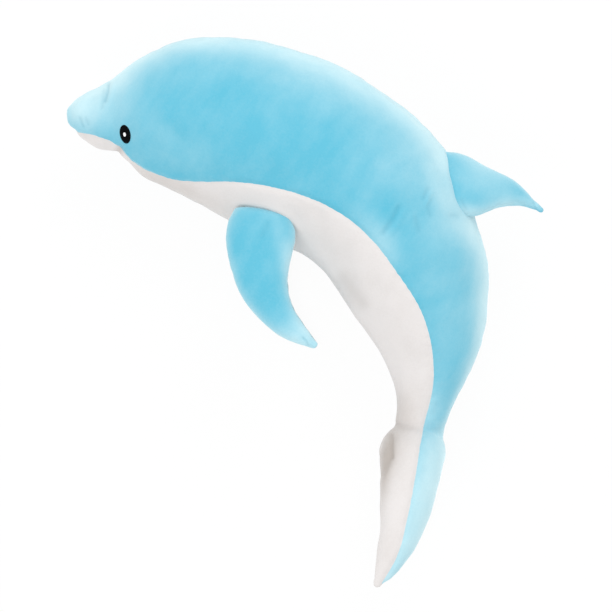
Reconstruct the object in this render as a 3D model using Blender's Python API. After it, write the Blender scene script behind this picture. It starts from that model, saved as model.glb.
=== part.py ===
"""Stuffed plush dolphin, lying on its right side: sewn cover panels, fibre filling, embroidered eyes.

The side view lies in the XY plane, with the snout towards -X, the back towards +Y and the dolphin's
left side facing up. Lengths are in metres.
"""

import math
from collections import namedtuple

import bmesh
import bpy
import numpy as np
from mathutils import Vector

# Cloth, thread and clearances
FABRIC = 0.0022
SEAM_GAP = 0.0003
EYE_THREAD = 0.0009
LEAST_FILLING = 0.001

# Height of the middle plane over the floor; the side is pressed flat where it bulges further out.
REST_HEIGHT = 0.084

# Body sections in the side view, from the snout to the fluke: the point on the back, the point on the
# belly, the half width, and how far down from back to belly the blue cloth reaches (0 to 1).
Section = namedtuple("Section", "back_x back_y belly_x belly_y half_width seam")
BODY = (
    Section(-0.254, 0.223, -0.253, 0.200, 0.011, 0.99),
    Section(-0.244, 0.232, -0.244, 0.190, 0.020, 0.91),
    Section(-0.224, 0.243, -0.224, 0.178, 0.029, 0.81),
    Section(-0.205, 0.255, -0.205, 0.174, 0.036, 0.90),
    Section(-0.187, 0.269, -0.191, 0.163, 0.046, 0.96),
    Section(-0.166, 0.281, -0.173, 0.145, 0.058, 0.93),
    Section(-0.138, 0.293, -0.146, 0.132, 0.070, 0.93),
    Section(-0.106, 0.2975, -0.116, 0.118, 0.079, 0.88),
    Section(-0.060, 0.294, -0.079, 0.098, 0.087, 0.79),
    Section(-0.011, 0.2835, -0.038, 0.078, 0.091, 0.735),
    Section(0.037, 0.266, 0.002, 0.060, 0.092, 0.715),
    Section(0.086, 0.237, 0.030, 0.033, 0.091, 0.68),
    Section(0.124, 0.207, 0.050, 0.000, 0.088, 0.65),
    Section(0.156, 0.165, 0.065, -0.021, 0.083, 0.65),
    Section(0.181, 0.111, 0.081, -0.042, 0.074, 0.635),
    Section(0.195, 0.061, 0.089, -0.057, 0.065, 0.62),
    Section(0.197, 0.0135, 0.0945, -0.072, 0.056, 0.60),
    Section(0.191, -0.034, 0.098, -0.087, 0.046, 0.57),
    Section(0.173, -0.075, 0.099, -0.100, 0.036, 0.50),
    Section(0.158, -0.106, 0.098, -0.112, 0.029, 0.455),
    Section(0.1505, -0.127, 0.096, -0.126, 0.0285, 0.44),
    Section(0.1500, -0.145, 0.087, -0.140, 0.028, 0.44),
)
NOSE_CAP = 0.004
TAIL_CAP = 0.004

# A fin is a stuffed horn: the middle of each cross-section in the side view, how far it lies out from
# the middle plane, half its chord from edge to edge, and half its thickness.
FinSection = namedtuple("FinSection", "x y out half_chord half_thickness")
HALF_FLUKE = (
    FinSection(0.1168, -0.150, 0.000, 0.031, 0.0350),
    FinSection(0.1152, -0.157, 0.028, 0.035, 0.0342),
    FinSection(0.1100, -0.193, 0.050, 0.032, 0.0302),
    FinSection(0.1010, -0.2345, 0.062, 0.022, 0.0226),
    FinSection(0.0890, -0.2675, 0.0685, 0.0125, 0.0134),
    FinSection(0.0770, -0.2892, 0.0735, 0.0048, 0.0046),
)
# The side seam in the side view where it runs on over the fluke, and past its tip
FLUKE_SEAM = (
    (0.1205, -0.1550),
    (0.1145, -0.1876),
    (0.1080, -0.2200),
    (0.1027, -0.2455),
    (0.0947, -0.2662),
    (0.0840, -0.2830),
)
FLIPPER = (
    FinSection(-0.0440, 0.1035, 0.056, 0.0325, 0.015),
    FinSection(-0.0470, 0.087, 0.058, 0.0390, 0.017),
    FinSection(-0.0483, 0.055, 0.062, 0.0328, 0.017),
    FinSection(-0.0440, 0.0257, 0.067, 0.0264, 0.015),
    FinSection(-0.0290, -0.0023, 0.072, 0.0183, 0.012),
    FinSection(-0.0085, -0.0215, 0.0765, 0.0112, 0.008),
    FinSection(0.0100, -0.0348, 0.0795, 0.0042, 0.004),
)
DORSAL_FIN = (
    FinSection(0.1450, 0.1380, 0.020, 0.0410, 0.0230),
    FinSection(0.1635, 0.1366, 0.019, 0.0393, 0.0220),
    FinSection(0.1817, 0.1336, 0.017, 0.0349, 0.0190),
    FinSection(0.1997, 0.1330, 0.014, 0.0251, 0.0150),
    FinSection(0.2151, 0.1304, 0.011, 0.0187, 0.0120),
    FinSection(0.2290, 0.1259, 0.008, 0.0116, 0.0090),
    FinSection(0.2426, 0.1187, 0.006, 0.0056, 0.0060),
    FinSection(0.2543, 0.1107, 0.005, 0.0030, 0.0035),
)
# The dorsal fin leans over as the dolphin lies: its rear edge faces up by this much
DORSAL_FIN_ROLL = math.radians(33)
FIN_ROOT_CAP = 0.008
FIN_TIP_CAP = 0.003

# Embroidered eye: an upright oval of thread with a small round highlight
EYE_X = -0.1925
EYE_Y = 0.191
EYE_HALF_WIDTH = 0.0060
EYE_HALF_HEIGHT = 0.0103
EYE_LEAN = math.radians(12)
HIGHLIGHT_HALF_WIDTH = 0.0019
HIGHLIGHT_HALF_HEIGHT = 0.0030

# Fineness of the faceted solids
BODY_RING_POINTS = 28
FIN_RING_POINTS = 16
FLUKE_RING_POINTS = 18
EYE_RING_POINTS = 28
BODY_STEPS = 32
FIN_STEPS = 10
FLUKE_STEPS = 22
CAP_STEPS = 3
SEAM_STEPS = 48

# Reach of the cutting blocks, past every side of the dolphin
CUTTER_REACH = 0.45

SIDEWAYS = Vector((0.0, 0.0, 1.0))
LEFT = 1
RIGHT = -1

# Colour, roughness
MATERIALS = {
    "blue_plush": ((0.28, 0.68, 0.84, 1.0), 0.95),
    "white_plush": ((0.86, 0.84, 0.84, 1.0), 0.95),
    "polyester_fibre": ((0.93, 0.93, 0.91, 1.0), 1.0),
    "black_thread": ((0.01, 0.01, 0.012, 1.0), 0.5),
    "white_thread": ((0.92, 0.92, 0.92, 1.0), 0.5),
}

Oval = namedtuple("Oval", "middle across half_across along half_along")


def clear_scene():
    """Empty the scene, and make one collection for the pieces and one for the cutters."""
    for old in list(bpy.data.objects):
        bpy.data.objects.remove(old)
    made = []
    for name in ("plush_dolphin", "cutters"):
        made.append(bpy.data.collections.new(name))
        bpy.context.scene.collection.children.link(made[-1])
    return made


PIECES, CUTTERS = clear_scene()


def add_object(name, mesh, collection):
    """Link a mesh as an object; what goes with the cutters is a guide that no render shows."""
    made = bpy.data.objects.new(name, mesh)
    collection.objects.link(made)
    if collection == CUTTERS:
        made.display_type = "WIRE"
        made.hide_render = True
    return made


def plain_material(name):
    colour, roughness = MATERIALS[name]
    material = bpy.data.materials.get(name) or bpy.data.materials.new(name)
    material.use_nodes = True
    shader = material.node_tree.nodes["Principled BSDF"]
    shader.inputs["Base Color"].default_value = colour
    shader.inputs["Roughness"].default_value = roughness
    shader.inputs["Metallic"].default_value = 0.0
    return material


def smooth_row(rows, position):
    """The row at a fractional index, on a smooth curve through all the rows."""
    last = len(rows) - 1
    index = min(int(position), last - 1)
    share = position - index
    start, end = np.array(rows[index]), np.array(rows[index + 1])
    before = np.array(rows[index - 1]) if index > 0 else 2 * start - end
    after = np.array(rows[index + 2]) if index + 2 <= last else 2 * end - start
    leave = (end - before) / 2
    arrive = (after - start) / 2
    bend = 3 * (end - start) - 2 * leave - arrive
    ease = 2 * (start - end) + leave + arrive
    return start + leave * share + bend * share**2 + ease * share**3


def body_oval(position):
    """The body's cross-section at a fractional section number."""
    row = Section(*smooth_row(BODY, position))
    back = Vector((row.back_x, row.back_y, 0.0))
    belly = Vector((row.belly_x, row.belly_y, 0.0))
    up = back - belly
    return Oval((back + belly) / 2, SIDEWAYS, row.half_width, up.normalized(), up.length / 2)


def body_ovals():
    last = len(BODY) - 1
    return [body_oval(last * step / BODY_STEPS) for step in range(BODY_STEPS + 1)]


def floor_lift(middle, half_across, half_along):
    """How far the floor pushes up a cross-section that would reach through it."""
    lowest = middle.z - math.hypot(half_across.z, half_along.z)
    return SIDEWAYS * max(0.0, -REST_HEIGHT - lowest)


def fin_ovals(sections, flat_normal, side, steps):
    """The cross-sections of a fin, square to its run; flat_normal faces one of its two panels."""
    last = len(sections) - 1
    middles = []
    rows = []
    for step in range(steps + 1):
        row = FinSection(*smooth_row(sections, last * step / steps))
        rows.append(row)
        middles.append(Vector((row.x, row.y, side * row.out)))
    ovals = []
    for step, row in enumerate(rows):
        run = middles[min(step + 1, steps)] - middles[max(step - 1, 0)]
        chord = run.cross(flat_normal).normalized()
        face = chord.cross(run).normalized()
        middle = middles[step] + floor_lift(middles[step], chord * row.half_chord, face * row.half_thickness)
        ovals.append(Oval(middle, chord, row.half_chord, face, row.half_thickness))
    return ovals


def oval_ring(oval, inset, count, size=1.0, shift=None):
    """Points round a cross-section, drawn in by inset and pressed flat at the floor."""
    across = (oval.half_across - inset) * size
    along = (oval.half_along - inset) * size
    middle = oval.middle + (shift or Vector())
    ring = []
    for index in range(count):
        angle = 2 * math.pi * index / count
        point = middle + oval.across * across * math.cos(angle) + oval.along * along * math.sin(angle)
        point.z = max(point.z, inset - REST_HEIGHT)
        ring.append(point)
    return ring


def cap_rings(oval, next_oval, inset, count, cap):
    """Rings that round off an end, from the oval outwards, and the pole that closes them."""
    outwards = (oval.middle - next_oval.middle).normalized()
    depth = max(cap - inset, LEAST_FILLING / 2)
    rings = []
    for step in range(1, CAP_STEPS):
        angle = math.pi / 2 * step / CAP_STEPS
        shift = outwards * depth * math.sin(angle)
        rings.append(oval_ring(oval, inset, count, math.cos(angle), shift))
    return rings, oval.middle + outwards * depth


def stuffed_form(name, ovals, inset, count, start_cap, end_cap):
    """A closed loft through the cross-sections with rounded ends, as a guide object."""
    needed = inset + LEAST_FILLING
    kept = [oval for oval in ovals if min(oval.half_across, oval.half_along) > needed]
    first_rings, first_pole = cap_rings(kept[0], kept[1], inset, count, start_cap)
    last_rings, last_pole = cap_rings(kept[-1], kept[-2], inset, count, end_cap)
    rings = first_rings[::-1]
    rings += [oval_ring(oval, inset, count) for oval in kept]
    rings += last_rings
    form = bmesh.new()
    rows = [[form.verts.new(point) for point in ring] for ring in rings]
    poles = form.verts.new(first_pole), form.verts.new(last_pole)
    for index in range(count):
        after = (index + 1) % count
        for low, high in zip(rows, rows[1:]):
            form.faces.new((low[index], low[after], high[after]))
            form.faces.new((low[index], high[after], high[index]))
        form.faces.new((poles[0], rows[0][after], rows[0][index]))
        form.faces.new((poles[1], rows[-1][index], rows[-1][after]))
    bmesh.ops.recalc_face_normals(form, faces=form.faces)
    mesh = bpy.data.meshes.new(name)
    form.to_mesh(mesh)
    form.free()
    return add_object(name, mesh, CUTTERS)


def prism(name, outline, low, high):
    """A flat outline in the side view, run sideways from low to high, as a guide object."""
    form = bmesh.new()
    base = form.faces.new([form.verts.new((x, y, low)) for x, y in outline])
    walls = bmesh.ops.extrude_face_region(form, geom=[base])["geom"]
    raised = [part for part in walls if isinstance(part, bmesh.types.BMVert)]
    bmesh.ops.translate(form, verts=raised, vec=(0.0, 0.0, high - low))
    bmesh.ops.recalc_face_normals(form, faces=form.faces)
    mesh = bpy.data.meshes.new(name)
    form.to_mesh(mesh)
    form.free()
    return add_object(name, mesh, CUTTERS)


def combine(target, operation, *others):
    for other in others:
        modifier = target.modifiers.new(f"{operation.lower()}_{other.name}", "BOOLEAN")
        modifier.operation = operation
        modifier.solver = "EXACT"
        modifier.object = other
    return target


def settled(name, source, collection):
    """A new object that holds the source's shape with its modifiers worked out."""
    bpy.context.view_layer.update()
    graph = bpy.context.evaluated_depsgraph_get()
    mesh = bpy.data.meshes.new_from_object(source.evaluated_get(graph))
    mesh.name = name
    return add_object(name, mesh, collection)


def piece(name, source, material, keep=(), remove=()):
    """One piece of the dolphin: the source shape, cut to what it keeps and without what it makes room for."""
    made = settled(name, source, PIECES)
    combine(made, "INTERSECT", *keep)
    combine(made, "DIFFERENCE", *remove)
    made.data.materials.clear()
    made.data.materials.append(plain_material(material))
    made.data.shade_smooth()
    made.data.set_sharp_from_angle(angle=math.radians(40))
    return made


def seam_points(shift):
    """The side seam between blue and white cloth in the side view, moved towards the belly by shift."""
    last = len(BODY) - 1
    points = []
    for step in range(SEAM_STEPS + 1):
        row = Section(*smooth_row(BODY, last * step / SEAM_STEPS))
        back, belly = Vector((row.back_x, row.back_y)), Vector((row.belly_x, row.belly_y))
        down = belly - back
        points.append(back + down * row.seam + down.normalized() * shift)
    towards_belly = Vector((shift * -1.0, 0.0))
    for place in FLUKE_SEAM:
        points.append(Vector(place) + towards_belly)
    before_snout = points[0] + (points[0] - points[1]).normalized() * CUTTER_REACH
    past_tail = points[-1] + (points[-1] - points[-2]).normalized() * CUTTER_REACH
    return [before_snout, *points, past_tail]


def belly_region(name, shift):
    """Everything on the belly's side of the seam, as a block through the whole width."""
    outline = seam_points(shift)
    outline.append(Vector((-CUTTER_REACH, outline[-1].y)))
    outline.append(Vector((-2 * CUTTER_REACH, outline[0].y)))
    return prism(name, outline, -CUTTER_REACH, CUTTER_REACH)


def half_space(name, side, gap):
    """Everything on one side of the middle plane, past half the gap."""
    corners = [(-1, -1), (1, -1), (1, 1), (-1, 1)]
    outline = [(x * CUTTER_REACH, y * CUTTER_REACH) for x, y in corners]
    low, high = sorted((side * gap / 2, side * CUTTER_REACH))
    return prism(name, outline, low, high)


def body_form(name, inset):
    """The body with the fluke joined on, drawn in by inset, as one guide object."""
    trunk = stuffed_form(name + "_trunk", body_ovals(), inset, BODY_RING_POINTS, NOSE_CAP, TAIL_CAP)
    right_half = [section._replace(out=-section.out) for section in HALF_FLUKE[:0:-1]]
    ovals = fin_ovals([*right_half, *HALF_FLUKE], Vector((1.0, 0.0, 0.0)), LEFT, FLUKE_STEPS)
    fluke = stuffed_form(name + "_fluke", ovals, inset, FLUKE_RING_POINTS, FIN_TIP_CAP, FIN_TIP_CAP)
    return settled(name, combine(trunk, "UNION", fluke), CUTTERS)


def make_body():
    """The two blue back panels, the white belly panel and the filling between them."""
    outer = body_form("body_outer", 0.0)
    inner = body_form("body_inner", FABRIC)
    filling = body_form("body_core", FABRIC + SEAM_GAP)
    white_side = belly_region("white_side", SEAM_GAP / 2)
    not_blue = belly_region("not_blue", -SEAM_GAP / 2)
    for side, name in ((LEFT, "left"), (RIGHT, "right")):
        half = half_space(f"{name}_half", side, SEAM_GAP)
        piece(f"{name}_back_panel", outer, "blue_plush", keep=[half], remove=[not_blue, inner])
    piece("belly_panel", outer, "white_plush", keep=[white_side], remove=[inner])
    piece("body_filling", filling, "polyester_fibre")


def fin_halves(name, ovals, flat_normal):
    """Two blocks that split a fin along the flat surface through its seam, with the seam's gap."""
    halves = []
    for turn in (1, -1):
        face = flat_normal * turn
        block = bmesh.new()
        bmesh.ops.create_cube(block, size=1.0)
        bmesh.ops.scale(block, vec=Vector.Fill(3, CUTTER_REACH), verts=block.verts)
        bmesh.ops.translate(block, vec=(0.0, 0.0, CUTTER_REACH / 2 + SEAM_GAP / 2), verts=block.verts)
        matrix = face.to_track_quat("Z", "Y").to_matrix().to_4x4()
        matrix.translation = ovals[len(ovals) // 2].middle
        block.transform(matrix)
        mesh = bpy.data.meshes.new(name)
        block.to_mesh(mesh)
        block.free()
        halves.append(add_object(f"{name}_half_{len(halves)}", mesh, CUTTERS))
    return halves


def make_fin(name, panel_names, sections, side, roll, guard):
    """One fin sewn from two panels round its own filling, cut to sit on the body."""
    root, tip = sections[0], sections[-1]
    run = Vector((tip.x - root.x, tip.y - root.y, side * (tip.out - root.out)))
    facing = Vector((0.0, math.sin(roll), math.cos(roll)))
    face = (facing - run * (facing.dot(run) / run.length_squared)).normalized()
    ovals = fin_ovals(sections, face, side, FIN_STEPS)
    forms = []
    for label, inset in (("outer", 0.0), ("inner", FABRIC), ("core", FABRIC + SEAM_GAP)):
        form_name = f"{name}_{label}"
        forms.append(stuffed_form(form_name, ovals, inset, FIN_RING_POINTS, FIN_ROOT_CAP, FIN_TIP_CAP))
    outer, inner, core = forms
    for panel_name, half in zip(panel_names, fin_halves(name, ovals, face)):
        piece(f"{name}_{panel_name}_panel", outer, "blue_plush", keep=[half], remove=[inner, guard])
    piece(f"{name}_filling", core, "polyester_fibre", remove=[guard])


def oval_outline(half_width, half_height):
    """The eye's oval in the side view."""
    points = []
    for index in range(EYE_RING_POINTS):
        angle = 2 * math.pi * index / EYE_RING_POINTS
        across, up = half_width * math.cos(angle), half_height * math.sin(angle)
        x = across * math.cos(EYE_LEAN) - up * math.sin(EYE_LEAN)
        y = across * math.sin(EYE_LEAN) + up * math.cos(EYE_LEAN)
        points.append((EYE_X + x, EYE_Y + y))
    return points


def make_eyes():
    """Black oval of satin stitch with a white highlight let into it, on each side of the head."""
    below = stuffed_form("eye_seat", body_ovals(), -SEAM_GAP, BODY_RING_POINTS, NOSE_CAP, TAIL_CAP)
    thread_top = -SEAM_GAP - EYE_THREAD
    thread = stuffed_form("thread", body_ovals(), thread_top, BODY_RING_POINTS, NOSE_CAP, TAIL_CAP)
    layer = settled("thread_layer", combine(thread, "DIFFERENCE", below), CUTTERS)
    hole_width, hole_height = HIGHLIGHT_HALF_WIDTH + SEAM_GAP, HIGHLIGHT_HALF_HEIGHT + SEAM_GAP
    for side, name in ((LEFT, "left"), (RIGHT, "right")):
        low, high = sorted((0.0, side * CUTTER_REACH))
        oval = prism(f"{name}_oval", oval_outline(EYE_HALF_WIDTH, EYE_HALF_HEIGHT), low, high)
        hole = prism(f"{name}_hole", oval_outline(hole_width, hole_height), low, high)
        dot_outline = oval_outline(HIGHLIGHT_HALF_WIDTH, HIGHLIGHT_HALF_HEIGHT)
        dot = prism(f"{name}_dot", dot_outline, low, high)
        piece(f"{name}_eye", layer, "black_thread", keep=[oval], remove=[hole])
        piece(f"{name}_eye_highlight", layer, "white_thread", keep=[dot])


def set_down():
    """Stand the origin on the floor, under the middle of the dolphin's box."""
    bpy.context.view_layer.update()
    graph = bpy.context.evaluated_depsgraph_get()
    corners = np.array([
        corner for made in PIECES.objects for corner in made.evaluated_get(graph).bound_box
    ])
    low, high = corners.min(axis=0), corners.max(axis=0)
    floor = bpy.data.objects.new("floor_origin", None)
    PIECES.objects.link(floor)
    floor.location = (-(low[0] + high[0]) / 2, -(low[1] + high[1]) / 2, -low[2])
    for made in [*PIECES.objects, *CUTTERS.objects]:
        if made != floor:
            made.parent = floor


def main():
    make_body()
    guard = body_form("body_guard", -SEAM_GAP)
    make_fin("dorsal_fin", ("left", "right"), DORSAL_FIN, LEFT, DORSAL_FIN_ROLL, guard)
    for side, name in ((LEFT, "left_flipper"), (RIGHT, "right_flipper")):
        panels = ("outer", "inner") if side == LEFT else ("inner", "outer")
        make_fin(name, panels, FLIPPER, side, 0.0, guard)
    make_eyes()
    set_down()


main()
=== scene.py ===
"""Looks of the plush dolphin: sewn plush covers, fibre filling, embroidered eyes and a plain studio.

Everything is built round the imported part, in its own frame and in metres: the dolphin lies on its
right side, the snout points to -X, the arched back to +Y and the left side up.
"""

import math
from collections import namedtuple

import bpy
import numpy as np
from bpy.props import FloatProperty, FloatVectorProperty, IntProperty, PointerProperty
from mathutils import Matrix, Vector
from mathutils.bvhtree import BVHTree


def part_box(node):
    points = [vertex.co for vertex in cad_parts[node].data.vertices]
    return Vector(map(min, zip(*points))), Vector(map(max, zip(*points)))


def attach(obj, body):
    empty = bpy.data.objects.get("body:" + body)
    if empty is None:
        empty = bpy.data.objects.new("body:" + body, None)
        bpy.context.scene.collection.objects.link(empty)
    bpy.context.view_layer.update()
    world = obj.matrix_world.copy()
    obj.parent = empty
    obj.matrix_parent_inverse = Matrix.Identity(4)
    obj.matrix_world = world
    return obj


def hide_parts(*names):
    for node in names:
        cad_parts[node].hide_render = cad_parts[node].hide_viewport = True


bl_info = {
    "name": "Plush Dolphin",
    "version": (1, 0, 0),
    "blender": (4, 5, 0),
    "location": "3D View > Sidebar > Plush Dolphin",
    "description": "Sewn plush covers, fibre filling, embroidered eyes and a plain studio",
    "category": "Object",
}

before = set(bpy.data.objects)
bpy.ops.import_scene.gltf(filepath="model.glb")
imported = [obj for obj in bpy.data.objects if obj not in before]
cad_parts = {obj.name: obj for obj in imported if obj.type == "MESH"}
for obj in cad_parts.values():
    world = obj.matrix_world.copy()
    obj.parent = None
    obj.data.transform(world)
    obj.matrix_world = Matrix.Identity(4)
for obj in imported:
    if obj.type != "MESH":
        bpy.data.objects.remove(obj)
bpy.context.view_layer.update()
ROOT = "root"
MIDDLE = (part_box("left_back_panel")[0].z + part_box("right_back_panel")[1].z) / 2

# Where the drawing's origin lies in the part's frame
DRAWING = np.array([0.00007, -0.00237, MIDDLE])
# The photograph: what one pixel measures on the dolphin, the drawing's origin in pixels, and the width
PIXEL = 0.00108
PHOTO_MIDDLE = (305.0, 312.5)
PHOTO_WIDTH = 612
# The pixel that the camera looks straight down on, and its height over the dolphin's middle plane
PHOTO_CENTRE = (306.0, 306.0)
CAMERA_HEIGHT = 4.6

# Body sections from snout to fluke: point on the back, point on the belly, half width
Section = namedtuple("Section", "back_x back_y belly_x belly_y half_width")
BODY = (
    Section(-0.254, 0.223, -0.253, 0.200, 0.011),
    Section(-0.244, 0.232, -0.244, 0.190, 0.020),
    Section(-0.224, 0.243, -0.224, 0.178, 0.029),
    Section(-0.205, 0.255, -0.205, 0.174, 0.036),
    Section(-0.187, 0.269, -0.191, 0.163, 0.046),
    Section(-0.166, 0.281, -0.173, 0.145, 0.058),
    Section(-0.138, 0.293, -0.146, 0.132, 0.070),
    Section(-0.106, 0.2975, -0.116, 0.118, 0.079),
    Section(-0.060, 0.294, -0.079, 0.098, 0.087),
    Section(-0.011, 0.2835, -0.038, 0.078, 0.091),
    Section(0.037, 0.266, 0.002, 0.060, 0.092),
    Section(0.086, 0.237, 0.030, 0.033, 0.091),
    Section(0.124, 0.207, 0.050, 0.000, 0.088),
    Section(0.156, 0.165, 0.065, -0.021, 0.083),
    Section(0.181, 0.111, 0.081, -0.042, 0.074),
    Section(0.195, 0.061, 0.089, -0.057, 0.065),
    Section(0.197, 0.0135, 0.0945, -0.072, 0.056),
    Section(0.191, -0.034, 0.098, -0.087, 0.046),
    Section(0.173, -0.075, 0.099, -0.100, 0.036),
    Section(0.158, -0.106, 0.098, -0.112, 0.029),
    Section(0.1505, -0.127, 0.096, -0.126, 0.0285),
    Section(0.1500, -0.145, 0.087, -0.140, 0.028),
)

# Fin sections: middle in the side view, distance out from the middle plane, half chord, half thickness
FinSection = namedtuple("FinSection", "x y out half_chord half_thickness")
HALF_FLUKE = (
    FinSection(0.1168, -0.150, 0.000, 0.031, 0.0350),
    FinSection(0.1152, -0.157, 0.028, 0.035, 0.0342),
    FinSection(0.1100, -0.193, 0.050, 0.032, 0.0302),
    FinSection(0.1010, -0.2345, 0.062, 0.022, 0.0226),
    FinSection(0.0890, -0.2675, 0.0685, 0.0125, 0.0134),
    FinSection(0.0768, -0.2894, 0.0735, 0.0036, 0.0040),
)
# How far the fluke's lower lobe leans to the back, for each square of its distance out
LOWER_LOBE_LEAN = 0.93
FLIPPER = (
    FinSection(-0.0440, 0.1035, 0.056, 0.0325, 0.015),
    FinSection(-0.0470, 0.087, 0.058, 0.0390, 0.017),
    FinSection(-0.0483, 0.055, 0.062, 0.0328, 0.017),
    FinSection(-0.0440, 0.0257, 0.067, 0.0264, 0.015),
    FinSection(-0.0290, -0.0023, 0.072, 0.0183, 0.012),
    FinSection(-0.0085, -0.0215, 0.0765, 0.0112, 0.008),
    FinSection(0.0100, -0.0348, 0.0795, 0.0042, 0.004),
)
DORSAL_FIN = (
    FinSection(0.1450, 0.1380, 0.020, 0.0410, 0.0230),
    FinSection(0.1635, 0.1366, 0.019, 0.0393, 0.0220),
    FinSection(0.1817, 0.1336, 0.017, 0.0349, 0.0190),
    FinSection(0.1997, 0.1330, 0.014, 0.0251, 0.0150),
    FinSection(0.2151, 0.1304, 0.011, 0.0187, 0.0120),
    FinSection(0.2290, 0.1259, 0.008, 0.0116, 0.0090),
    FinSection(0.2426, 0.1187, 0.006, 0.0056, 0.0060),
    FinSection(0.2543, 0.1107, 0.005, 0.0030, 0.0035),
)
# How far the dorsal fin has rolled over, with its rear edge facing up
DORSAL_FIN_ROLL = math.radians(33)
# How far the rounded ends of a form reach past its first and last section
BODY_CAP = 0.004
FIN_ROOT_CAP = 0.008
TIP_CAP = 0.0035
# Cross-sections of a form, and points round each of them
BODY_RINGS = (190, 120)
FLUKE_RINGS = (150, 96)
FIN_RINGS = (72, 64)
# How many rounds even out the body, the fibre and the line of the side seam
BODY_ROUNDS = 5
FIBRE_ROUNDS = 6
SEAM_ROUNDS = 50

# Lumps in the stuffed cloth and puckers at its seams: their size, share of the full height and seed
Lumps = namedtuple("Lumps", "size share seed")
BODY_LUMPS = Lumps(0.075, 1.0, 3)
SMALL_BODY_LUMPS = Lumps(0.024, 0.35, 4)
BODY_PUCKERS = Lumps(0.011, 1.0, 5)
FIN_LUMPS = Lumps(0.05, 0.6, 7)
FIN_PUCKERS = Lumps(0.010, 1.0, 8)
FIBRE_LUMPS = Lumps(0.02, 1.0, 9)
LUMP_WAVES = 14
# Distance from a seam over which the cloth puckers
BODY_PUCKER_REACH = 0.009
FIN_PUCKER_REACH = 0.007

# Where a fin meets the body: the body's cloth swells and the fin's draws in
BODY_SWELL = 0.0012
BODY_SWELL_REACH = 0.006
FIN_DRAW = 0.0006
FIN_DRAW_REACH = 0.005
# How deep in the body a fin's cloth ends
FIN_TRIM = 0.0045
# A fin's cloth and seam, as shares of the body's
FIN_CLOTH = 0.8
FIN_SEAM_DEPTH = 0.6
FIN_SEAM_WIDTH = 0.8
# The angle past which an edge of the cloth or of the stitching is sharp
CLOTH_EDGE = math.radians(62)
STITCHING_EDGE = math.radians(70)
# A cut moves the nearer point of an edge that it crosses within this share of the edge's length
CUT_SNAP = 0.25

# Grain of the fibre's faces, and how far the fibre lies inside its filling's solid
Fibre = namedtuple("Fibre", "grain inset")
BODY_FIBRE = Fibre(0.006, 0.0022)
FIN_FIBRE = Fibre(0.003, 0.0012)
FIBRE_HEIGHT = 0.0006

# The depth of a fold at which the shade painted in it is full
FULL_SHADE_FOLD = 0.002
# How much shade is painted along the line where a fin meets the body
BODY_ROOT_SHADE = 0.1
FIN_ROOT_SHADE = 0.2
# Painted rim highlight where the cloth turns side-on and faces the back, away from the side seam, and
# painted highlight along a fin's edge
PAINTED_RIM_SHARE = 0.85
PAINTED_RIM_SLOPE = 0.68
PAINTED_RIM_SEAM_REACH = 0.04
PAINTED_EDGE_SHARE = 0.55
PAINTED_EDGE_REACH = 0.009
# Names that the covers and their materials share
BODY_SURFACE = "body_surface"
# Name of the attribute with the share of the second colour: painted light and shade, with brushed pile
LIE_AND_LIGHT_ATTRIBUTE = "brushed"
# Name of the attribute with the share of shade painted in creases and at fin roots
SHADE_ATTRIBUTE = "painted_shade"
# Columns of a cover's points after their place and normal, while it is cut
SEAM, LIMIT, LIE_AND_LIGHT_COLUMN, SHADE_COLUMN, WHITE_SHADE_COLUMN = range(6, 11)

# Patches of painted light and shade, with brushed pile among them, on the left side in the photograph's
# pixels: middle,
# # radii, turn in degrees (counter-clockwise) and strength. On blue cloth most are paler, painted
# highlights with brushed pile, and a few darker, painted shade; on white cloth they are darker, painted
# shade.
Stroke = namedtuple("Stroke", "x y long short turn strength")
BLUE_BASE = 0.04
BLUE_PAINTED_PATCHES = (
    Stroke(86, 106, 32, 28, 0, 0.66),
    Stroke(77, 112, 11, 15, 0, 0.16),
    Stroke(118, 86, 24, 12, 35, 0.18),
    Stroke(200, 47, 34, 9, 0, 0.16),
    Stroke(162, 138, 26, 16, -10, 0.08),
    Stroke(272, 125, 32, 20, 0, -0.06),
    Stroke(315, 92, 60, 18, -22, 0.14),
    Stroke(394, 158, 44, 26, -45, 0.16),
    Stroke(380, 238, 30, 14, -55, 0.40),
    Stroke(428, 270, 36, 18, -62, 0.10),
    Stroke(450, 228, 34, 16, -10, 0.28),
    Stroke(432, 165, 26, 12, -75, 0.18),
    Stroke(444, 200, 22, 11, -60, 0.28),
    Stroke(446, 350, 60, 20, 80, 0.22),
    Stroke(425, 408, 20, 16, 60, 0.28),
    Stroke(432, 450, 34, 16, 85, 0.46),
    Stroke(422, 500, 46, 22, 78, 0.64),
    Stroke(402, 554, 38, 20, 65, 0.66),
    Stroke(385, 580, 12, 9, 45, 0.40),
)
# Painted highlights and shade on the fins, with brushed pile among them
FIN_PAINTED_PATCHES = (
    Stroke(286, 255, 50, 8, -75, 0.24),
    Stroke(300, 334, 22, 14, -40, 0.45),
    Stroke(262, 208, 34, 7, -12, 0.12),
    Stroke(488, 182, 30, 18, -25, 0.32),
    Stroke(476, 162, 30, 8, -24, 0.34),
    Stroke(464, 209, 15, 9, -15, 0.24),
    Stroke(458, 172, 16, 18, 0, 0.07),
    Stroke(525, 201, 16, 9, -35, -0.14),
)
WHITE_BASE = 0.05
# Painted shade on the white cloth
WHITE_PAINTED_PATCHES = (
    Stroke(165, 183, 40, 9, -22, 0.35),
    Stroke(215, 206, 30, 8, -25, 0.20),
    Stroke(388, 452, 26, 9, 80, 0.85),
    Stroke(384, 480, 30, 6, 85, 0.45),
    Stroke(402, 412, 22, 14, 80, 0.32),
    Stroke(403, 450, 26, 10, 82, 0.14),
    Stroke(388, 556, 24, 10, 75, 0.14),
)

# Creases in the cloth: their line in the photograph's pixels, depth, half width and side of the body.
# A negative depth is a ridge. Those on the right side, which the photograph doesn't show, are guessed.
Crease = namedtuple("Crease", "line depth half_width side")
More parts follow.
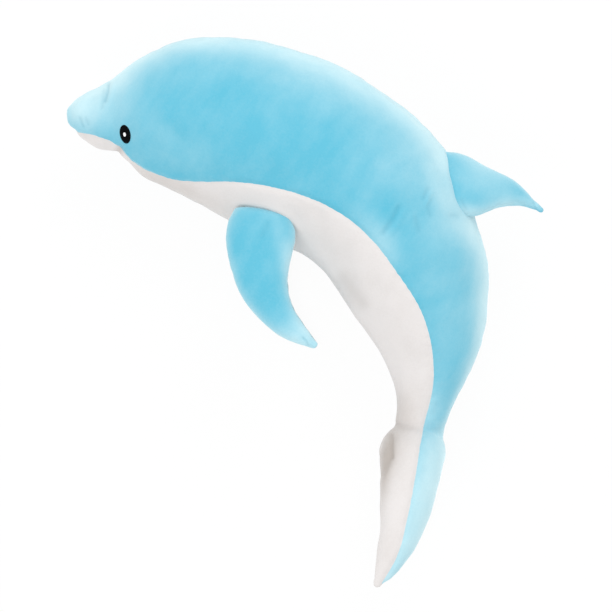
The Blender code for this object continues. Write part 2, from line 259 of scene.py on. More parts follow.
# Half widths past which a crease no longer shows
CREASE_REACH = 3
BODY_CREASES = (
    Crease(((108.5, 84), (107.5, 92), (105, 101)), 0.0014, 0.0018, "left"),
    Crease(((112.5, 85), (111.5, 93), (109, 102)), -0.0005, 0.0020, "left"),
    Crease(((103.7, 90), (101.7, 108)), 0.0007, 0.0017, "left"),
    Crease(((79.2, 118), (82.5, 127)), 0.0008, 0.0016, "left"),
    Crease(((85, 118), (87.5, 125)), 0.0006, 0.0016, "left"),
    Crease(((116, 155), (120, 149)), 0.0020, 0.0045, "both"),
    Crease(((399, 207), (393, 219), (383, 233)), 0.0009, 0.0029, "left"),
    Crease(((404, 213), (399, 224), (389, 236)), -0.0006, 0.0026, "left"),
    Crease(((416, 218), (419, 230)), 0.0006, 0.0030, "left"),
    Crease(((428.5, 188), (424, 198)), 0.0006, 0.0022, "left"),
    Crease(((431.5, 193), (425.5, 205)), -0.0006, 0.0022, "left"),
    Crease(((431, 200), (429, 208), (431, 215)), 0.0006, 0.0028, "left"),
    Crease(((452, 215), (458, 216)), 0.0006, 0.0030, "left"),
    Crease(((391.5, 435), (391.5, 457)), 0.0020, 0.0023, "left"),
    Crease(((390, 457), (387, 465), (382, 476)), 0.0010, 0.0034, "left"),
    Crease(((448, 425), (437, 430), (424, 431), (414, 428)), 0.0003, 0.0032, "both"),
    Crease(((396, 424), (403, 428), (410, 428)), 0.0006, 0.0030, "both"),
    Crease(((344, 279), (352, 292), (362, 303)), 0.0009, 0.0080, "both"),
    Crease(((109, 84), (107, 92), (108, 103)), 0.0012, 0.0020, "right"),
    Crease(((104, 88), (102, 99)), 0.0007, 0.0018, "right"),
    Crease(((412, 204), (400, 214), (394, 227)), 0.0010, 0.0022, "right"),
    Crease(((394, 436), (392, 449), (395, 460)), 0.0017, 0.0024, "right"),
)
FLIPPER_CREASES = (
    Crease(((303, 338), (306, 341), (308, 345)), 0.0009, 0.0014, "left"),
    Crease(((305, 336), (309, 339.5), (311, 344)), -0.0005, 0.0014, "left"),
    Crease(((268, 222), (262, 236)), 0.0006, 0.0030, "left"),
    Crease(((299, 335), (305, 343)), 0.0007, 0.0016, "right"),
)
DORSAL_CREASES = (
    Crease(((534, 203), (536, 210)), 0.0007, 0.0014, "left"),
    Crease(((462, 201), (466, 209)), 0.0007, 0.0020, "left"),
    Crease(((530, 200), (534, 210)), 0.0007, 0.0016, "right"),
)

# Stitching of the eyes: how far its edge stands out, the highlight's dome, and its depth in the cloth
EYE_BASE = 0.0002
HIGHLIGHT_RISE = 0.0004
STITCHING_DEPTH = 0.0006
# How far a stitch stands out, how much its rows slope, and the share of the oval that they cover
STITCH_HEIGHT = 0.00011
STITCH_SLOPE = 0.12
STITCHED_SHARE = 0.97
# How much of the stitching faces the way of the whole eye, and how full its dome is
EYE_FACING = 0.7
DOME_POWER = 2.6
EYE_RINGS = 26
HIGHLIGHT_RINGS = 8

# How plush varies: scale, twist and share of its clouds, scale and share of its strokes, share of its
# specks, how much of the shade painted in creases and at fin roots shows, and the sheen's weight and tint
Nap = namedtuple(
    "Nap",
    "cloud_scale cloud_twist cloud_share stroke_scale stroke_share speck_share ground_share sheen tint",
)
BLUE_NAP = Nap(16.0, 0.4, 0.34, 42.0, 0.30, 0.14, 0.45, 1.0, (0.80, 0.97, 1.0, 1.0))
WHITE_NAP = Nap(13.0, 0.3, 0.40, 36.0, 0.25, 0.20, 0.50, 0.4, (1.0, 0.98, 0.97, 1.0))
# Sockets of a Mix node for colours, by number because those for plain numbers have the same names
MIX_SHARE, MIX_FIRST, MIX_SECOND, MIX_RESULT = 0, 6, 7, 2

# The studio: where each lamp stands and how wide it is, the floor's place and how white it shows
Lamp = namedtuple("Lamp", "name place size")
KEY_LAMP = Lamp("key_light", (0.7, 2.2, 2.2), 1.6)
FILL_LAMP = Lamp("fill_light", (-1.2, -1.5, 2.6), 1.8)
FLOOR_DROP = 0.0004
FLOOR_COLOUR = (0.95, 0.95, 0.95, 1.0)
FLOOR_GLOW = 0.95
WHITE = (1.0, 1.0, 1.0, 1.0)
SENSOR_WIDTH = 36.0


# Settings


def length_setting(name, description, default, least=0.0):
    """A length that can be changed in the panel."""
    return FloatProperty(name=name, description=description, default=default, min=least, unit="LENGTH")


def colour_setting(name, description, default):
    """A colour that can be changed in the panel."""
    return FloatVectorProperty(
        name=name,
        description=description,
        default=default,
        subtype="COLOR",
        min=0.0,
        max=1.0,
    )


class CoverSettings(bpy.types.PropertyGroup):
    """Sizes of the sewn plush covers."""

    cloth: length_setting("Cloth", "Thickness of the plush cloth", 0.002, 0.0005)
    grain: length_setting("Grain", "Size of the faces that the body's cover is made of", 0.0020, 0.001)
    seam_depth: length_setting("Seam depth", "How deep the seams draw in the cloth", 0.0013)
    seam_width: length_setting("Seam width", "Distance over which cloth rises from a seam", 0.0026, 0.0005)
    # Also sets how far painted shade reaches from a fin's root
    pile: length_setting("Pile", "Distance over which the pile parts at a fin's root", 0.0018, 0.0002)
    pucker: length_setting("Pucker", "Height of the small ripples along the seams", 0.00022)
    unevenness: length_setting("Unevenness", "Height of the soft lumps that the filling makes", 0.0006)
    fullness: FloatProperty(
        name="Fullness",
        description="How tightly the pieces are stuffed",
        default=0.85,
        min=0.0,
        max=1.0,
        subtype="FACTOR",
    )


class PlushSettings(bpy.types.PropertyGroup):
    """Colours of the plush, its filling and the thread."""

    blue: colour_setting("Blue", "Blue plush, its pile standing", (0.122, 0.495, 0.655))
    # Pale colour for brushed pile and for painted highlights
    blue_brushed_and_lit: colour_setting("Blue, brushed", "Blue plush, its pile lying flat", (0.60, 0.82, 0.875))
    # Colour of the shade painted in creases and at fin roots
    blue_crease_shade: colour_setting("Blue, ground", "Blue plush, its pile parted", (0.05, 0.28, 0.40))
    white: colour_setting("White", "White plush, its pile standing", (0.76, 0.73, 0.72))
    # Darker colour for the shade painted on the white cloth
    white_painted_shade: colour_setting("White, brushed", "White plush, its pile lying flat", (0.50, 0.455, 0.42))
    # Colour of the shade painted in creases and at fin roots
    white_crease_shade: colour_setting("White, ground", "White plush, its pile parted", (0.40, 0.36, 0.33))
    fibre: colour_setting("Fibre", "Polyester filling", (0.86, 0.86, 0.84))
    dark_thread: colour_setting("Eye thread", "Thread of the eyes", (0.0022, 0.0025, 0.0030))
    light_thread: colour_setting("Highlight thread", "Thread of the eyes' highlights", (0.88, 0.88, 0.90))


class EyeSettings(bpy.types.PropertyGroup):
    """Sizes of the embroidered eyes."""

    half_width: length_setting("Half width", "Half the width of an eye's oval", 0.0058, 0.001)
    half_height: length_setting("Half height", "Half the height of an eye's oval", 0.0100, 0.001)
    glint_half_width: length_setting(
        "Highlight half width", "Half the width of an eye's highlight", 0.0016, 0.0003
    )
    glint_half_height: length_setting(
        "Highlight half height", "Half the height of an eye's highlight", 0.0025, 0.0003
    )
    lean: FloatProperty(
        name="Lean",
        description="How far the top of an eye leans towards the snout",
        default=math.radians(12),
        subtype="ANGLE",
    )
    thread: length_setting("Thread", "Width of one stitch", 0.00055, 0.0002)
    rise: length_setting("Rise", "How far the stitching stands over the plush", 0.0010)
    stitches: IntProperty(
        name="Fineness",
        description="Number of points round an eye's outline",
        default=96,
        min=16,
    )


class StageSettings(bpy.types.PropertyGroup):
    """Camera, floor and lights."""

    floor_size: length_setting("Floor", "Side of the floor", 24.0, 1.0)
    key: FloatProperty(
        name="Key light",
        description="Power of the soft light over the dolphin's back",
        default=30.0,
        min=0.0,
        unit="POWER",
    )
    fill: FloatProperty(
        name="Fill light",
        description="Power of the soft light beside the camera",
        default=25.0,
        min=0.0,
        unit="POWER",
    )
    ambient: FloatProperty(
        name="Ambient light",
        description="Strength of the even light from all sides",
        default=1.0,
        min=0.0,
    )


# Curves and forms


def smooth_rows(rows, count):
    """Rows at count places on a smooth curve through all the given rows."""
    rows = np.array(rows, float)
    padded = np.vstack([2 * rows[0] - rows[1], rows, 2 * rows[-1] - rows[-2]])
    place = np.linspace(0, len(rows) - 1, count)
    index = np.minimum(place.astype(int), len(rows) - 2)
    share = (place - index)[:, None]
    before, start, end, after = (padded[index + step] for step in range(4))
    leave, arrive = (end - before) / 2, (after - start) / 2
    bend = 3 * (end - start) - 2 * leave - arrive
    ease = 2 * (start - end) + leave + arrive
    return start + leave * share + bend * share**2 + ease * share**3


def eased(rows, reach=7):
    """Rows averaged with their neighbours, without moving the two ends."""
    before = 2 * rows[0] - rows[reach:0:-1]
    after = 2 * rows[-1] - rows[-2 : -reach - 2 : -1]
    padded = np.vstack([before, rows, after])
    return sum(padded[step : step + len(rows)] for step in range(2 * reach + 1)) / (2 * reach + 1)


def unit(vectors):
    """Each vector made one long."""
    return vectors / np.maximum(np.linalg.norm(vectors, axis=-1, keepdims=True), 1e-12)


def body_ovals(count):
    """Middle, two axes and their half lengths for each cross-section of the body."""
    rows = smooth_rows(BODY, count)
    back = np.column_stack([rows[:, :2], np.zeros(count)])
    belly = np.column_stack([rows[:, 2:4], np.zeros(count)])
    across = np.tile([0.0, 0.0, 1.0], (count, 1))
    half_up = np.linalg.norm(back - belly, axis=1) / 2
    return (back + belly) / 2, across, rows[:, 4], unit(back - belly), half_up


def fin_ovals(sections, flat_normal, side, count):
    """The same for a fin, with its sections square to its run."""
    rows = eased(smooth_rows(sections, count))
    middle = np.column_stack([rows[:, :2], side * rows[:, 2]])
    run = np.gradient(middle, axis=0)
    chord = unit(np.cross(run, flat_normal))
    face = unit(np.cross(chord, run))
    return middle, chord, rows[:, 3], face, rows[:, 4]


def loft(ovals, ring_points, start_cap, end_cap, cap_steps=8):
    """Points and quads of a closed form through the cross-sections, with rounded ends."""
    middle, across, half_across, along, half_along = ovals
    angles = 2 * np.pi * np.arange(ring_points) / ring_points
    steps = np.pi / 2 * np.arange(1, cap_steps) / cap_steps
    start_way = unit(middle[0] - middle[1])
    end_way = unit(middle[-1] - middle[-2])
    order = [0] * len(steps) + list(range(len(middle))) + [-1] * len(steps)
    size = np.concatenate([np.cos(steps[::-1]), np.ones(len(middle)), np.cos(steps)])
    moved = np.zeros((len(order), 3))
    moved[: len(steps)] = start_way * start_cap * np.sin(steps[::-1])[:, None]
    moved[-len(steps) :] = end_way * end_cap * np.sin(steps)[:, None]
    centre = middle[order] + moved
    wide = (across * half_across[:, None])[order] * size[:, None]
    high = (along * half_along[:, None])[order] * size[:, None]
    rings = (
        centre[:, None]
        + wide[:, None] * np.cos(angles)[None, :, None]
        + high[:, None] * np.sin(angles)[None, :, None]
    )
    poles = np.array([middle[0] + start_way * start_cap, middle[-1] + end_way * end_cap])
    points = np.vstack([rings.reshape(-1, 3), poles])
    count = len(order)
    near = np.arange(ring_points)
    far = (near + 1) % ring_points
    faces = []
    last_ring = (count - 1) * ring_points
    for ring in range(0, last_ring, ring_points):
        after = ring + ring_points
        faces += [(ring + b, ring + a, after + a, after + b) for a, b in zip(near, far)]
    start_pole, end_pole = count * ring_points, count * ring_points + 1
    faces += [(start_pole, a, b) for a, b in zip(near, far)]
    faces += [(end_pole, last_ring + b, last_ring + a) for a, b in zip(near, far)]
    return points, faces


def into_place(points):
    """Points of the drawing in the part's frame, pressed flat on the floor."""
    placed = points + DRAWING
    placed[:, 2] = np.maximum(placed[:, 2], 0.0)
    return placed


def photo_line(line):
    """A line in the photograph's pixels, as points in the part's frame."""
    line = np.array(line, float)
    x = (line[:, 0] - PHOTO_MIDDLE[0]) * PIXEL
    y = (PHOTO_MIDDLE[1] - line[:, 1]) * PIXEL
    return np.column_stack([x, y]) + DRAWING[:2]


# Meshes as arrays


def new_mesh(name, points, faces):
    """A mesh from arrays or lists of points and faces."""
    mesh = bpy.data.meshes.new(name)
    mesh.from_pydata([tuple(p) for p in points], [], [tuple(map(int, f)) for f in faces])
    mesh.update()
    return mesh


def mesh_arrays(mesh):
    """Points and triangles of a mesh."""
    points = np.empty(len(mesh.vertices) * 3)
    mesh.vertices.foreach_get("co", points)
    mesh.calc_loop_triangles()
    triangles = np.empty(len(mesh.loop_triangles) * 3, np.int64)
    mesh.loop_triangles.foreach_get("vertices", triangles)
    return points.reshape(-1, 3), triangles.reshape(-1, 3)


def remeshed(points, faces, size):
    """One even closed surface round forms that may overlap, as points and triangles."""
    mesh = new_mesh("form", points, faces)
    form = bpy.data.objects.new("form", mesh)
    bpy.context.scene.collection.objects.link(form)
    modifier = form.modifiers.new("even", "REMESH")
    modifier.mode = "VOXEL"
    modifier.voxel_size = size
    graph = bpy.context.evaluated_depsgraph_get()
    made = bpy.data.meshes.new_from_object(form.evaluated_get(graph))
    arrays = mesh_arrays(made)
    bpy.data.objects.remove(form)
    bpy.data.meshes.remove(mesh)
    bpy.data.meshes.remove(made)
    return arrays


def edge_ends(triangles):
    """The two ends of each side of each triangle, so that an inner edge comes twice."""
    return np.vstack([triangles[:, [0, 1]], triangles[:, [1, 2]], triangles[:, [2, 0]]])


def evened(values, triangles, shares):
    """Rows of the points' values, drawn towards their neighbours' by each share in turn."""
    ends = np.unique(np.sort(edge_ends(triangles), axis=1), axis=0)
    size = len(values)
    count = np.bincount(ends.ravel(), minlength=size)[:, None]
    for share in shares:
        total = np.zeros_like(values)
        for column in range(values.shape[1]):
            total[:, column] += np.bincount(ends[:, 0], values[ends[:, 1], column], size)
            total[:, column] += np.bincount(ends[:, 1], values[ends[:, 0], column], size)
        values = values + (total / count - values) * share
    return values


def relaxed(points, triangles, rounds):
    """Points drawn towards their neighbours, and out again so that the form keeps its size."""
    return evened(points, triangles, [0.5, -0.5] * rounds)


def point_normals(points, triangles):
    """The way out of the surface at each point."""
    a, b, c = (points[triangles[:, corner]] for corner in range(3))
    face = np.cross(b - a, c - a)
    normals = np.zeros_like(points)
    for corner in range(3):
        for axis in range(3):
            normals[:, axis] += np.bincount(triangles[:, corner], face[:, axis], len(points))
    return unit(normals)


def tree_of(*objects):
    """A search tree over the faces of some objects."""
    points, triangles, start = [], [], 0
    for obj in objects:
        some, faces = mesh_arrays(obj.data)
        points.append(some)
        triangles.append(faces + start)
        start += len(some)
    return tree_of_arrays(np.vstack(points), np.vstack(triangles))


def tree_of_arrays(points, triangles):
    """A search tree over triangles."""
    return BVHTree.FromPolygons(points.tolist(), triangles.tolist())


def distances(tree, points):
    """Distance of each point from the surface, on either side of it."""
    return np.array([tree.find_nearest(point)[3] for point in points.tolist()])


def depths(tree, points):
    """Distance out of the surface, negative inside it."""
    found = []
    for point in points.tolist():
        nearest, normal, _, distance = tree.find_nearest(point)
        found.append(math.copysign(distance, (Vector(point) - nearest).dot(normal)))
    return np.array(found)


def line_distance(places, line):
    """Distance of places in the side view from a line of several stretches."""
    nearest = np.full(len(places), np.inf)
    for start, end in zip(line, line[1:]):
        run = end - start
        share = np.clip(((places - start) @ run) / (run @ run), 0, 1)
        nearest = np.minimum(nearest, np.linalg.norm(places - start - share[:, None] * run, axis=1))
    return nearest


def lumps(points, kind):
    """A smooth uneven field of about -1 to 1, times the lumps' share."""
    chance = np.random.default_rng(kind.seed)
    total = np.zeros(len(points))
    for _ in range(LUMP_WAVES):
        way = unit(chance.normal(size=3)) * 2 * np.pi / (kind.size * chance.uniform(0.7, 1.6))
        total += np.sin(points @ way + chance.uniform(0, 2 * np.pi))
    return total * kind.share / math.sqrt(LUMP_WAVES / 2)


def hump(distance, half_width):
    """1 at no distance, falling smoothly to about a third at the half width."""
    return np.exp(-((distance / half_width) ** 2))


def in_photo(points):
    """Where the camera sees points, on the middle plane."""
    centre = photo_line([PHOTO_CENTRE])
    nearness = CAMERA_HEIGHT / (CAMERA_HEIGHT + MIDDLE - points[:, 2])
    return centre + (points[:, :2] - centre) * nearness[:, None]


def crease_rise(points, creases):
    """How far creases move the cloth out, on the side that each of them reaches."""
    rise = np.zeros(len(points))
    places = in_photo(points)
    upper = points[:, 2] > MIDDLE
    for crease in creases:
        line = photo_line(crease.line)
        low = line.min(axis=0) - CREASE_REACH * crease.half_width
        high = line.max(axis=0) + CREASE_REACH * crease.half_width
        near = ((places > low) & (places < high)).all(axis=1)
        near &= {"left": upper, "right": ~upper, "both": True}[crease.side]
        rise[near] -= crease.depth * hump(line_distance(places[near], line), crease.half_width)
    return rise


def painted_and_brushed_share(points, base, strokes):
    """How much painted light and shade, with brushed pile, each point takes: the same on both sides of the
    body.
    """
    share = np.full(len(points), base)
    places = in_photo(points)
    for patch in strokes:
        turn = math.radians(patch.turn)
        off = (places - photo_line([(patch.x, patch.y)])) / PIXEL
        along = (off[:, 0] * math.cos(turn) + off[:, 1] * math.sin(turn)) / patch.long
        across = (off[:, 1] * math.cos(turn) - off[:, 0] * math.sin(turn)) / patch.short
        share += patch.strength * np.exp(-(along**2) - across**2)
    return share


def set_pile_and_light(mesh, brushed, painted_shade):
    """Store on both faces of a cloth its shares of painted light and shade with brushed pile, and of
    painted crease shade, for its material to read.
    """
    for name, share in ((LIE_AND_LIGHT_ATTRIBUTE, brushed), (SHADE_ATTRIBUTE, painted_shade)):
        layer = mesh.attributes.new(name, "FLOAT", "POINT")
        layer.data.foreach_set("value", np.tile(share, 2))


def cut_along(data, triangles, column, level=0.0):
    """Cut a mesh where one column of its points' data passes a level. Returns data, triangles, sides."""
    data = data.copy()
    data[:, column] -= level
    value = data[:, column]
    ends = np.unique(np.sort(edge_ends(triangles), axis=1), axis=0)
    crossed = ends[value[ends[:, 0]] * value[ends[:, 1]] < 0]
    share = value[crossed[:, 0]] / (value[crossed[:, 0]] - value[crossed[:, 1]])
    place = data[crossed[:, 0]] * (1 - share[:, None]) + data[crossed[:, 1]] * share[:, None]
    # Points near the cut move onto it, the nearest of them last
    closer = np.where(share < 0.5, crossed[:, 0], crossed[:, 1])
    off = np.minimum(share, 1 - share)
    near = np.flatnonzero(off < CUT_SNAP)
    near = near[np.argsort(-off[near])]
    data[closer[near]] = place[near]
    data[closer[near], column] = 0.0
    value = data[:, column]
    signs = np.sign(value[triangles])
    mixed = (signs.min(axis=1) < 0) & (signs.max(axis=1) > 0)
    kept = triangles[~mixed]
    sides = np.where(signs[~mixed].sum(axis=1) >= 0, 1, -1)
    fresh, extra, made, made_sides = {}, [], [], []

    def middle(a, b):
        """The point where the cut crosses an edge, made once for both triangles there."""
        key = (min(a, b), max(a, b))
        if key not in fresh:
            low, high = key
            part = value[low] / (value[low] - value[high])
            row = data[low] * (1 - part) + data[high] * part
            row[column] = 0.0
            fresh[key] = len(data) + len(extra)
            extra.append(row)
        return fresh[key]

    # The triangles that the cut still crosses are split in two or three
    for corners in triangles[mixed]:
        corner_signs = np.sign(value[corners])
        zero = np.flatnonzero(corner_signs == 0)
        if len(zero):
            z, a, b = np.roll(corners, -zero[0])
            m = middle(a, b)
            made += [(z, a, m), (z, m, b)]
            made_sides += [np.sign(value[a]), np.sign(value[b])]
        else:
            lone = np.flatnonzero(corner_signs == -np.sign(corner_signs.sum()))[0]
            top, a, b = np.roll(corners, -lone)
            m, n = middle(top, a), middle(top, b)
            made += [(top, m, n), (m, a, b), (m, b, n)]
            made_sides += [np.sign(value[top]), np.sign(value[a]), np.sign(value[a])]
    if made:
        data = np.vstack([data, np.array(extra)])
        kept = np.vstack([kept, np.array(made)])
        sides = np.concatenate([sides, made_sides])
    data[:, column] += level
    return data, kept, sides


def compact(data, triangles):
    """Drop the points that no triangle uses."""
    used, index = np.unique(triangles, return_inverse=True)
    return data[used], index.reshape(-1, 3)


def cloth_mesh(name, points, normals, triangles, thickness):
    """A closed mesh of cloth: the outer surface, the same surface further in, and the cut edges."""
    count = len(points)
    ends = edge_ends(triangles)
    _, index, uses = np.unique(np.sort(ends, axis=1), axis=0, return_inverse=True, return_counts=True)
    border = ends[uses[index.reshape(-1)] == 1]
    rim = [(b, a, a + count, b + count) for a, b in border]
    faces = [*triangles.tolist(), *(triangles[:, ::-1] + count).tolist(), *rim]
    mesh = new_mesh(name, np.vstack([points, points - normals * thickness]), faces)
    mesh.shade_smooth()
    mesh.set_sharp_from_angle(angle=CLOTH_EDGE)
    return mesh


# Shader values and materials


class Value:
    """A node's socket that takes part in Python arithmetic."""

    def __init__(self, finish, socket):
        self.finish = finish
        self.socket = socket

    def _math(self, operation, *values):
        return self.finish.add("Math", {"operation": operation}, dict(enumerate(values)))

    def __add__(self, other):
        return self._math("ADD", self, other)

    def __radd__(self, other):
        return self._math("ADD", other, self)

    def __sub__(self, other):
        return self._math("SUBTRACT", self, other)

    def __rsub__(self, other):
        return self._math("SUBTRACT", other, self)

    def __mul__(self, other):
        return self._math("MULTIPLY", self, other)

    def __rmul__(self, other):
        return self._math("MULTIPLY", other, self)


class Finish:
    """The nodes of one material or world, built from values."""

    def __init__(self, owner):
        owner.use_nodes = True
        self.tree = owner.node_tree
        self.tree.nodes.clear()

    def add(self, kind, settings=None, sockets=None, output=0):
        """Add a node: its settings first, then the values or links of its sockets."""
        node = self.tree.nodes.new("ShaderNode" + kind)
        for name, setting in (settings or {}).items():
            setattr(node, name, setting)
        for key, value in (sockets or {}).items():
            if isinstance(value, Value):
                self.tree.links.new(value.socket, node.inputs[key])
            else:
                node.inputs[key].default_value = value
        return Value(self, node.outputs[output]) if node.outputs else None

    def mix(self, share, first, second):
        """A colour between two others."""
        settings = {"data_type": "RGBA", "clamp_factor": True}
        sockets = {MIX_SHARE: share, MIX_FIRST: first, MIX_SECOND: second}
        return self.add("Mix", settings, sockets, output=MIX_RESULT)

    def place(self):
        """The place on the piece, in its own space."""
        return self.add("TexCoord", output="Object")

    def stored(self, name):
        """A value that the mesh holds at its points."""
        return self.add("Attribute", {"attribute_name": name}, output="Fac")

    def noise(self, place, scale, detail, roughness, distortion=0.0):
        """A cloudy value about 0.5."""
        sockets = {
            "Vector": place,
            "Scale": scale,
            "Detail": detail,
            "Roughness": roughness,
            "Distortion": distortion,
        }
        return self.add("TexNoise", {"noise_dimensions": "3D"}, sockets)

    def stretched(self, place, scale, turn):
        """The place, turned and drawn out, for a pile or thread that lies one way."""
        sockets = {"Vector": place, "Rotation": (0.0, 0.0, turn), "Scale": scale}
        return self.add("Mapping", {"vector_type": "TEXTURE"}, sockets)

    def bump(self, height, strength, distance):
        """A relief from a height."""
        return self.add("Bump", None, {"Strength": strength, "Distance": distance, "Height": height})


def rgba(colour):
    """A colour with full cover."""
    return (*colour, 1.0)


def material_of(name, shader, *details):
    """The material of this name, built when a piece asks for it first."""
    made = bpy.data.materials.get(name)
    if made is None:
        made = bpy.data.materials.new(name)
        finish = Finish(made)
        finish.add("OutputMaterial", None, {"Surface": shader(finish, *details)})
    return made


def pile_bump(finish, place):
    """The relief of a short, soft pile: tips, tufts and strokes of a brush."""
    tips = finish.noise(place, scale=1100.0, detail=2.0, roughness=0.6)
    tufts = finish.noise(place, scale=330.0, detail=2.0, roughness=0.5)
    drawn = finish.stretched(place, scale=(1.0, 3.2, 1.0), turn=-0.5)
    brushed = finish.noise(drawn, scale=150.0, detail=2.0, roughness=0.5)
    return finish.bump(tips * 0.45 + tufts * 0.35 + brushed * 0.35, strength=0.4, distance=0.0010)


def plush(finish, nap, standing, flat, shaded):
    """Short plush of one colour where its pile stands, another for brushed pile and painted light and
    shade, and a third for shade painted in creases and at fin roots.
    """
    place = finish.place()
    clouds = finish.noise(place, nap.cloud_scale, detail=3.0, roughness=0.5, distortion=nap.cloud_twist)
    drawn = finish.stretched(place, scale=(1.0, 2.6, 1.0), turn=-0.6)
    strokes = finish.noise(drawn, nap.stroke_scale, detail=3.0, roughness=0.6)
    specks = finish.noise(place, scale=420.0, detail=2.0, roughness=0.6)
    uneven = (clouds - 0.5) * nap.cloud_share + (strokes - 0.5) * nap.stroke_share
    uneven += (specks - 0.5) * nap.speck_share
    # Mix towards the second colour: painted light and shade, with brushed pile
    colour = finish.mix(finish.stored(LIE_AND_LIGHT_ATTRIBUTE) + uneven, rgba(standing), rgba(flat))
    # Painted shade in creases and at fin roots
    colour = finish.mix(finish.stored(SHADE_ATTRIBUTE) * nap.ground_share, colour, rgba(shaded))
    sockets = {
        "Base Color": colour,
        "Roughness": 0.88,
        "Specular IOR Level": 0.15,
        "Sheen Weight": nap.sheen,
        "Sheen Roughness": 0.35,
        "Sheen Tint": nap.tint,
        "Normal": pile_bump(finish, place),
    }
    return finish.add("BsdfPrincipled", None, sockets)


def blue_plush():
    """Blue plush, paler where its pile is brushed flat and where highlights are painted, darker where shade
    is painted.
    """
    dyes = bpy.context.scene.dolphin_plush
    return material_of("blue_plush_pile", plush, BLUE_NAP, dyes.blue, dyes.blue_brushed_and_lit, dyes.blue_crease_shade)


def white_plush():
    """White plush, a little warm and darker where shade is painted."""
    dyes = bpy.context.scene.dolphin_plush
    colours = (dyes.white, dyes.white_painted_shade, dyes.white_crease_shade)
    return material_of("white_plush_pile", plush, WHITE_NAP, *colours)


def fibre(finish, colour):
    """Loose polyester fibre, in strands and wads."""
    place = finish.place()
    drawn = finish.stretched(place, scale=(1.0, 5.0, 2.0), turn=0.7)
    strands = finish.noise(drawn, scale=500.0, detail=4.0, roughness=0.7)
    wads = finish.noise(place, scale=60.0, detail=3.0, roughness=0.6)
    shade = tuple(0.85 * part for part in colour)
    sockets = {
        "Base Color": finish.mix(strands * 0.6 + wads * 0.4, rgba(shade), rgba(colour)),
        "Roughness": 0.95,
        "Normal": finish.bump(strands + wads, strength=0.7, distance=0.002),
    }
    return finish.add("BsdfPrincipled", None, sockets)


def thread(finish, colour, lean):
    """Satin stitching: smooth thread in rows across the eye."""
    turned = finish.stretched(finish.place(), scale=(1.0, 1.0, 1.0), turn=lean)
    drawn = finish.stretched(turned, scale=(6.0, 1.0, 1.0), turn=0.0)
    ply = finish.noise(drawn, scale=2600.0, detail=2.0, roughness=0.5)
    shine = tuple(min(1.0, 1.4 * part) for part in colour)
    sockets = {
        "Base Color": finish.mix(ply, rgba(colour), rgba(shine)),
        "Roughness": ply * 0.2 + 0.55,
        "Specular IOR Level": 0.03,
        "Normal": finish.bump(ply, strength=0.35, distance=0.0003),
    }
    return finish.add("BsdfPrincipled", None, sockets)


# Pieces


def add_piece(name, mesh, material, nodes):
    """Show a mesh as a piece of the dolphin, in place of the part's plain nodes."""
    old = bpy.data.objects.get(name)
    if old:
        bpy.data.objects.remove(old)
    mesh.materials.clear()
    mesh.materials.append(material)
    made = bpy.data.objects.new(name, mesh)
    bpy.context.scene.collection.objects.link(made)
    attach(made, ROOT)
    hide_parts(*nodes)
    return made


def panel_field(points, plus_nodes, minus_nodes):
    """About the distance along the cloth from the seam between two groups of panels."""
    plus = tree_of(*[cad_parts[name] for name in plus_nodes])
    minus = tree_of(*[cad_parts[name] for name in minus_nodes])
    return distances(minus, points) - distances(plus, points)


def fin_form(sections, side, roll=0.0):
    """One fin as points and triangles in the part's frame."""
    root, tip = sections[0], sections[-1]
    run = np.array([tip.x - root.x, tip.y - root.y, side * (tip.out - root.out)])
    facing = np.array([0.0, math.sin(roll), math.cos(roll)])
    face = unit(facing - run * (facing @ run) / (run @ run))
    count, ring_points = FIN_RINGS
    points, faces = loft(fin_ovals(sections, face, side, count), ring_points, FIN_ROOT_CAP, TIP_CAP)
    triangles = []
    for corners in faces:
        triangles.append(corners[:3])
        if len(corners) == 4:
            triangles.append((corners[0], corners[2], corners[3]))
    return into_place(points), np.array(triangles)


def all_fins():
    """Search trees over the dorsal fin and both flippers."""
    forms = [fin_form(DORSAL_FIN, 1, DORSAL_FIN_ROLL), fin_form(FLIPPER, 1), fin_form(FLIPPER, -1)]
    return [tree_of_arrays(*form) for form in forms]


def body_form(grain):
    """The smooth body with its fluke, as one even surface."""
    count, ring_points = BODY_RINGS
    trunk, trunk_faces = loft(body_ovals(count), ring_points, BODY_CAP, BODY_CAP)
    lower = [
        section._replace(x=section.x + LOWER_LOBE_LEAN * section.out**2, out=-section.out)
        for section in HALF_FLUKE[:0:-1]
    ]
    count, ring_points = FLUKE_RINGS
    ovals = fin_ovals([*lower, *HALF_FLUKE], np.array([1.0, 0.0, 0.0]), 1, count)
    fluke, fluke_faces = loft(ovals, ring_points, TIP_CAP, TIP_CAP)
    shifted = [tuple(corner + len(trunk) for corner in face) for face in fluke_faces]
    points = into_place(np.vstack([trunk, fluke]))
    points, triangles = remeshed(points, [*trunk_faces, *shifted], grain)
    return relaxed(points, triangles, BODY_ROUNDS), triangles


def add_cover(name, data, triangles, thickness, fullness, material, slot, node, lie_and_light=LIE_AND_LIGHT_COLUMN):
    """Give one cut panel the thickness of cloth, and show it in place of its plain node."""
    rows, corners = compact(data, triangles)
    mesh = cloth_mesh(name, rows[:, :3], unit(rows[:, 3:6]), corners, thickness)
    set_pile_and_light(mesh, rows[:, lie_and_light], rows[:, SHADE_COLUMN])
    add_piece(name, mesh, material, [node])


